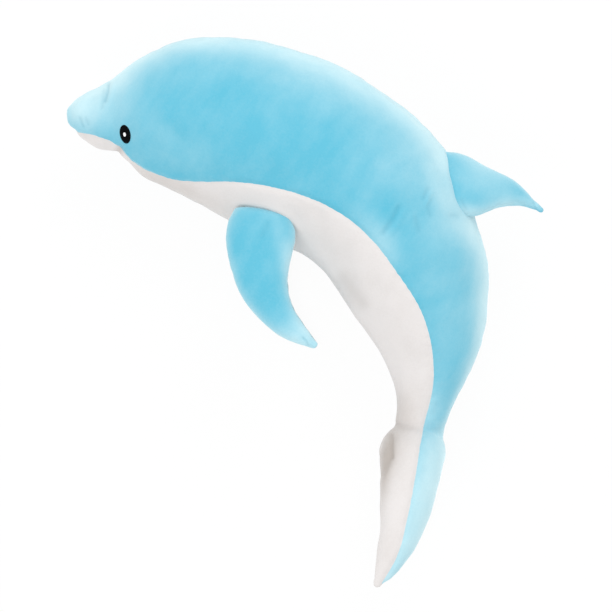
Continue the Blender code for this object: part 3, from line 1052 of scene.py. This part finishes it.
def make_body_cover(cover):
    """The two blue back panels and the white belly panel."""
    points, triangles = body_form(cover.grain)
    normals = point_normals(points, triangles)
    seam = panel_field(points, ("left_back_panel", "right_back_panel"), ("belly_panel",))
    seam = evened(seam[:, None], triangles, [0.5] * SEAM_ROUNDS)[:, 0]
    height = points[:, 2] - MIDDLE
    ridge = np.where(seam > 0, np.abs(height), 1.0)
    lines = np.minimum(np.abs(seam), ridge)
    rise = (lumps(points, BODY_LUMPS) + lumps(points, SMALL_BODY_LUMPS)) * cover.unevenness
    rise += lumps(points, BODY_PUCKERS) * cover.pucker * hump(lines, BODY_PUCKER_REACH)
    rise -= cover.seam_depth * hump(lines, cover.seam_width)
    folds = crease_rise(points, BODY_CREASES)
    # Shade painted into the creases, and below along the fin roots
    crease_shade = np.clip(-folds / FULL_SHADE_FOLD, -1, 1)
    for tree in all_fins():
        away = distances(tree, points)
        rise += BODY_SWELL * hump(away, BODY_SWELL_REACH)
        crease_shade += BODY_ROOT_SHADE * hump(away, cover.pile)
    rise += folds
    # Painted rim highlight where the cloth turns side-on, away from the side seam
    turned = hump((normals[:, 2] / PAINTED_RIM_SLOPE) ** 2, 1.0) * (1 - hump(seam, PAINTED_RIM_SEAM_REACH))
    # Painted highlights and shade from the blue patch table, plus the painted rim highlight
    blue_lie_and_light = painted_and_brushed_share(points, BLUE_BASE, BLUE_PAINTED_PATCHES) + turned * PAINTED_RIM_SHARE
    # Painted shade on the white cloth
    white_shade_share = painted_and_brushed_share(points, WHITE_BASE, WHITE_PAINTED_PATCHES)
    moved = points + normals * rise[:, None]
    data = np.column_stack([moved, normals, seam, height, blue_lie_and_light, crease_shade, white_shade_share])
    data[:, 2] = np.maximum(data[:, 2], 0.0)
    new_mesh(BODY_SURFACE, data[:, :3], triangles)
    data, triangles, _ = cut_along(data, triangles, LIMIT)
    data, triangles, sides = cut_along(data, triangles, SEAM)
    blue_side = sides > 0
    upper = data[triangles][:, :, LIMIT].mean(axis=1) > 0
    blue = (cover.cloth, cover.fullness, blue_plush(), "blue_plush")
    add_cover("left_back_cover", data, triangles[blue_side & upper], *blue, "left_back_panel")
    add_cover("right_back_cover", data, triangles[blue_side & ~upper], *blue, "right_back_panel")
    white = (cover.cloth, cover.fullness, white_plush(), "white_plush")
    add_cover("belly_cover", data, triangles[~blue_side], *white, "belly_panel", lie_and_light=WHITE_SHADE_COLUMN)


def body_tree():
    """A search tree over the outside of the body's cover."""
    mesh = bpy.data.meshes.get(BODY_SURFACE)
    if mesh is None:
        raise RuntimeError("Make the body cover first")
    return tree_of_arrays(*mesh_arrays(mesh))


def make_fin_cover(cover, name, form, creases, plus, minus):
    """A fin's two panels, sewn together along its edge and trimmed where it enters the body."""
    points, triangles = form
    normals = point_normals(points, triangles)
    seam = panel_field(points, (f"{name}_{plus}_panel",), (f"{name}_{minus}_panel",))
    outside = depths(body_tree(), points)
    rise = lumps(points, FIN_LUMPS) * cover.unevenness
    rise += lumps(points, FIN_PUCKERS) * cover.pucker * hump(seam, FIN_PUCKER_REACH)
    rise -= cover.seam_depth * FIN_SEAM_DEPTH * hump(seam, cover.seam_width * FIN_SEAM_WIDTH)
    rise -= FIN_DRAW * hump(np.maximum(outside, 0), FIN_DRAW_REACH)
    folds = crease_rise(points, creases)
    rise += folds
    # Painted highlights and shade from the fin table, and a painted highlight along the fin's edge seam
    lie_and_light = painted_and_brushed_share(points, BLUE_BASE, FIN_PAINTED_PATCHES) + PAINTED_EDGE_SHARE * hump(seam, PAINTED_EDGE_REACH)
    # Shade painted into the creases and along the line where the fin meets the body
    crease_shade = np.clip(-folds / FULL_SHADE_FOLD, -1, 1) + FIN_ROOT_SHADE * hump(outside, cover.pile)
    moved = points + normals * rise[:, None]
    data = np.column_stack([moved, normals, seam, outside, lie_and_light, crease_shade])
    data[:, 2] = np.maximum(data[:, 2], 0.0)
    data, triangles, sides = cut_along(data, triangles, LIMIT, -FIN_TRIM)
    data, triangles = compact(data, triangles[sides > 0])
    data, triangles, sides = cut_along(data, triangles, SEAM)
    cloth = (cover.cloth * FIN_CLOTH, cover.fullness, blue_plush(), "blue_plush")
    for panel, sign in ((plus, 1), (minus, -1)):
        panel = f"{name}_{panel}"
        add_cover(f"{panel}_cover", data, triangles[sides == sign], *cloth, f"{panel}_panel")


def make_fibre(name, size):
    """The filling of one stuffed form, a little smaller than its cover."""
    node = f"{name}_filling"
    points, triangles = mesh_arrays(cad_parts[node].data)
    points, triangles = remeshed(points, triangles, size.grain)
    points = relaxed(points, triangles, FIBRE_ROUNDS)
    normals = point_normals(points, triangles)
    points = points - normals * (size.inset + FIBRE_HEIGHT * lumps(points, FIBRE_LUMPS)[:, None])
    mesh = new_mesh(f"{name}_fibre", points, triangles)
    mesh.shade_smooth()
    material = material_of("polyester_filling", fibre, bpy.context.scene.dolphin_plush.fibre)
    made = add_piece(f"{name}_fibre", mesh, material, [node])


# One stitched oval of an eye: the ends of its piece's and node's names, its looks and its sizes
Oval = namedtuple("Oval", "piece node slot material half_width half_height base rise rings")


def stitched_oval(name, tree, centre, side, oval, eyes):
    """A domed oval of satin stitch that follows the cloth under it."""
    around = 2 * np.pi * np.arange(eyes.stitches) / eyes.stitches
    out = np.linspace(0, 1, oval.rings + 1)[1:]
    across = np.concatenate([[0.0], (out[:, None] * np.cos(around)).ravel()]) * oval.half_width
    up = np.concatenate([[0.0], (out[:, None] * np.sin(around)).ravel()]) * oval.half_height
    radius = np.concatenate([[0.0], np.repeat(out, eyes.stitches)])
    x = centre.x + across * math.cos(eyes.lean) - up * math.sin(eyes.lean)
    y = centre.y + across * math.sin(eyes.lean) + up * math.cos(eyes.lean)
    seats, normals = [], []
    for place in zip(x.tolist(), y.tolist()):
        start = Vector((*place, MIDDLE + side))
        seat, normal, _, _ = tree.ray_cast(start, Vector((0, 0, -side)))
        if seat is None:
            raise ValueError(f"{name} lies past the edge of the head")
        seats.append(seat)
        normals.append(normal)
    seats, normals = np.array(seats), np.array(normals)
    normals = unit(normals.mean(axis=0) * EYE_FACING + normals * (1 - EYE_FACING))
    dome = oval.rise * np.sqrt(np.maximum(0, 1 - radius**DOME_POWER))
    stitch = np.abs(np.sin(np.pi * (up + STITCH_SLOPE * across) / eyes.thread)) * STITCH_HEIGHT
    top = seats + normals * (oval.base + dome + stitch * (radius < STITCHED_SHARE))[:, None]
    bottom = seats - normals * STITCHING_DEPTH
    count = len(seats)
    faces = []
    near = np.arange(eyes.stitches)
    far = (near + 1) % eyes.stitches
    turn = 1 if side > 0 else -1
    for a, b in zip(near, far):
        fan = [(0, 1 + a, 1 + b)]
        for ring in range(oval.rings - 1):
            low, high = 1 + ring * eyes.stitches, 1 + (ring + 1) * eyes.stitches
            fan.append((low + a, high + a, high + b, low + b))
        edge = 1 + (oval.rings - 1) * eyes.stitches
        faces += [face[::turn] for face in fan]
        faces += [tuple(corner + count for corner in face[::-turn]) for face in fan]
        faces.append((edge + b, edge + a, edge + a + count, edge + b + count)[::turn])
    mesh = new_mesh(name, np.vstack([top, bottom]), faces)
    mesh.shade_smooth()
    mesh.set_sharp_from_angle(angle=STITCHING_EDGE)
    return mesh


def make_eyes(eyes, colours):
    """Both eyes: black stitching with a white highlight on it."""
    tree = body_tree()
    ovals = (
        Oval(
            piece="eye_stitching",
            node="eye",
            slot="black_thread",
            material=material_of("black_stitching", thread, colours.dark_thread, eyes.lean),
            half_width=eyes.half_width,
            half_height=eyes.half_height,
            base=EYE_BASE,
            rise=eyes.rise,
            rings=EYE_RINGS,
        ),
        Oval(
            piece="eye_glint",
            node="eye_highlight",
            slot="white_thread",
            material=material_of("white_stitching", thread, colours.light_thread, eyes.lean),
            half_width=eyes.glint_half_width,
            half_height=eyes.glint_half_height,
            base=eyes.rise,
            rise=HIGHLIGHT_RISE,
            rings=HIGHLIGHT_RINGS,
        ),
    )
    for side, name in ((1, "left"), (-1, "right")):
        for oval in ovals:
            label = f"{name}_{oval.piece}"
            low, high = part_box(f"{name}_{oval.node}")
            mesh = stitched_oval(label, tree, (low + high) / 2, side, oval, eyes)
            add_piece(label, mesh, oval.material, [f"{name}_{oval.node}"])


# Studio


def floor_shader(finish):
    """White to the camera and in reflections, and still a floor that takes a soft shadow."""
    seen = finish.add("LightPath", output="Is Camera Ray")
    seen += finish.add("LightPath", output="Is Glossy Ray")
    seen += finish.add("LightPath", output="Is Transmission Ray")
    plain = finish.add("BsdfDiffuse", None, {"Color": FLOOR_COLOUR})
    white = finish.add("Emission", None, {"Color": WHITE, "Strength": 1.0})
    share = finish.add("Math", {"operation": "MINIMUM"}, {0: seen, 1: 1.0}) * FLOOR_GLOW
    return finish.add("MixShader", None, {0: share, 1: plain, 2: white})


def make_floor(size):
    """A plain square floor just under the dolphin."""
    half = size / 2
    corners = [(x * half, y * half, -FLOOR_DROP) for x, y in ((-1, -1), (1, -1), (1, 1), (-1, 1))]
    floor = bpy.data.objects.new("studio_floor", new_mesh("studio_floor", corners, [(0, 1, 2, 3)]))
    floor.data.materials.append(material_of("studio_floor", floor_shader))
    bpy.context.scene.collection.objects.link(floor)


def make_world(strength):
    """Even white light, and a plain white background."""
    world = bpy.data.worlds.new("studio")
    bpy.context.scene.world = world
    finish = Finish(world)
    camera = finish.add("LightPath", output="Is Camera Ray")
    glossy = finish.add("LightPath", output="Is Glossy Ray")
    seen = finish.add("Math", {"operation": "MAXIMUM"}, {0: camera, 1: glossy})
    level = finish.add("Mix", {"data_type": "FLOAT"}, {"Factor": seen, "A": strength, "B": 1.0})
    shade = finish.add("Background", None, {"Strength": level})
    finish.add("OutputWorld", None, {"Surface": shade})


def make_light(lamp, power):
    """A round soft lamp that shines on the dolphin."""
    light = bpy.data.lights.new(lamp.name, "AREA")
    light.shape = "DISK"
    light.size = lamp.size
    light.energy = power
    made = bpy.data.objects.new(lamp.name, light)
    made.location = lamp.place
    way = Vector((0, 0, MIDDLE)) - Vector(lamp.place)
    made.rotation_euler = way.to_track_quat("-Z", "Y").to_euler()
    bpy.context.scene.collection.objects.link(made)


def make_camera():
    """Straight above the middle of the photograph, with its width of view."""
    camera = bpy.data.objects.new("camera", bpy.data.cameras.new("camera"))
    middle = photo_line([PHOTO_CENTRE])[0]
    camera.location = (middle[0], middle[1], MIDDLE + CAMERA_HEIGHT)
    camera.data.sensor_width = SENSOR_WIDTH
    camera.data.lens = SENSOR_WIDTH * CAMERA_HEIGHT / (PHOTO_WIDTH * PIXEL)
    bpy.context.scene.collection.objects.link(camera)
    bpy.context.scene.camera = camera


# Operators


class DOLPHIN_OT_body_cover(bpy.types.Operator):
    """Make the blue back panels and the white belly panel"""

    bl_idname = "dolphin.body_cover"
    bl_label = "Body Cover"

    def execute(self, context):
        make_body_cover(context.scene.dolphin_cover)
        return {"FINISHED"}


class DOLPHIN_OT_dorsal_fin(bpy.types.Operator):
    """Make the two panels of the dorsal fin"""

    bl_idname = "dolphin.dorsal_fin"
    bl_label = "Dorsal Fin"

    def execute(self, context):
        cover = context.scene.dolphin_cover
        form = fin_form(DORSAL_FIN, 1, DORSAL_FIN_ROLL)
        make_fin_cover(cover, "dorsal_fin", form, DORSAL_CREASES, "left", "right")
        return {"FINISHED"}


class DOLPHIN_OT_flippers(bpy.types.Operator):
    """Make the two panels of each flipper"""

    bl_idname = "dolphin.flippers"
    bl_label = "Flippers"

    def execute(self, context):
        cover = context.scene.dolphin_cover
        for side, name in ((1, "left_flipper"), (-1, "right_flipper")):
            make_fin_cover(cover, name, fin_form(FLIPPER, side), FLIPPER_CREASES, "outer", "inner")
        return {"FINISHED"}


class DOLPHIN_OT_filling(bpy.types.Operator):
    """Make the fibre that fills the body and the fins"""

    bl_idname = "dolphin.filling"
    bl_label = "Filling"

    def execute(self, context):
        make_fibre("body", BODY_FIBRE)
        for name in ("dorsal_fin", "left_flipper", "right_flipper"):
            make_fibre(name, FIN_FIBRE)
        return {"FINISHED"}


class DOLPHIN_OT_eyes(bpy.types.Operator):
    """Stitch both eyes with their highlights"""

    bl_idname = "dolphin.eyes"
    bl_label = "Eyes"

    def execute(self, context):
        make_eyes(context.scene.dolphin_eyes, context.scene.dolphin_plush)
        return {"FINISHED"}


class DOLPHIN_OT_stage(bpy.types.Operator):
    """Set up the floor, the lights and the camera"""

    bl_idname = "dolphin.stage"
    bl_label = "Stage"

    def execute(self, context):
        stage = context.scene.dolphin_stage
        make_floor(stage.floor_size)
        make_world(stage.ambient)
        make_light(KEY_LAMP, stage.key)
        make_light(FILL_LAMP, stage.fill)
        make_camera()
        context.scene.view_settings.view_transform = "Standard"
        return {"FINISHED"}


class DOLPHIN_PT_panel(bpy.types.Panel):
    """The dolphin's operators and settings"""

    bl_idname = "DOLPHIN_PT_panel"
    bl_label = "Plush Dolphin"
    bl_space_type = "VIEW_3D"
    bl_region_type = "UI"
    bl_category = "Plush Dolphin"

    def draw(self, context):
        layout = self.layout
        for operator in OPERATORS:
            layout.operator(operator.bl_idname)
        for name in SETTINGS:
            box = layout.box()
            settings = getattr(context.scene, name)
            for key in settings.__annotations__:
                box.prop(settings, key)


OPERATORS = (
    DOLPHIN_OT_body_cover,
    DOLPHIN_OT_dorsal_fin,
    DOLPHIN_OT_flippers,
    DOLPHIN_OT_filling,
    DOLPHIN_OT_eyes,
    DOLPHIN_OT_stage,
)
SETTINGS = {
    "dolphin_cover": CoverSettings,
    "dolphin_plush": PlushSettings,
    "dolphin_eyes": EyeSettings,
    "dolphin_stage": StageSettings,
}


def register():
    for cls in (*SETTINGS.values(), *OPERATORS, DOLPHIN_PT_panel):
        bpy.utils.register_class(cls)
    for name, group in SETTINGS.items():
        setattr(bpy.types.Scene, name, PointerProperty(type=group))


def unregister():
    for name in SETTINGS:
        delattr(bpy.types.Scene, name)
    for cls in reversed((*SETTINGS.values(), *OPERATORS, DOLPHIN_PT_panel)):
        bpy.utils.unregister_class(cls)


def main():
    register()
    bpy.ops.dolphin.body_cover()
    bpy.ops.dolphin.dorsal_fin()
    bpy.ops.dolphin.flippers()
    bpy.ops.dolphin.filling()
    bpy.ops.dolphin.eyes()
    bpy.ops.dolphin.stage()


if __name__ == "__main__":
    main()
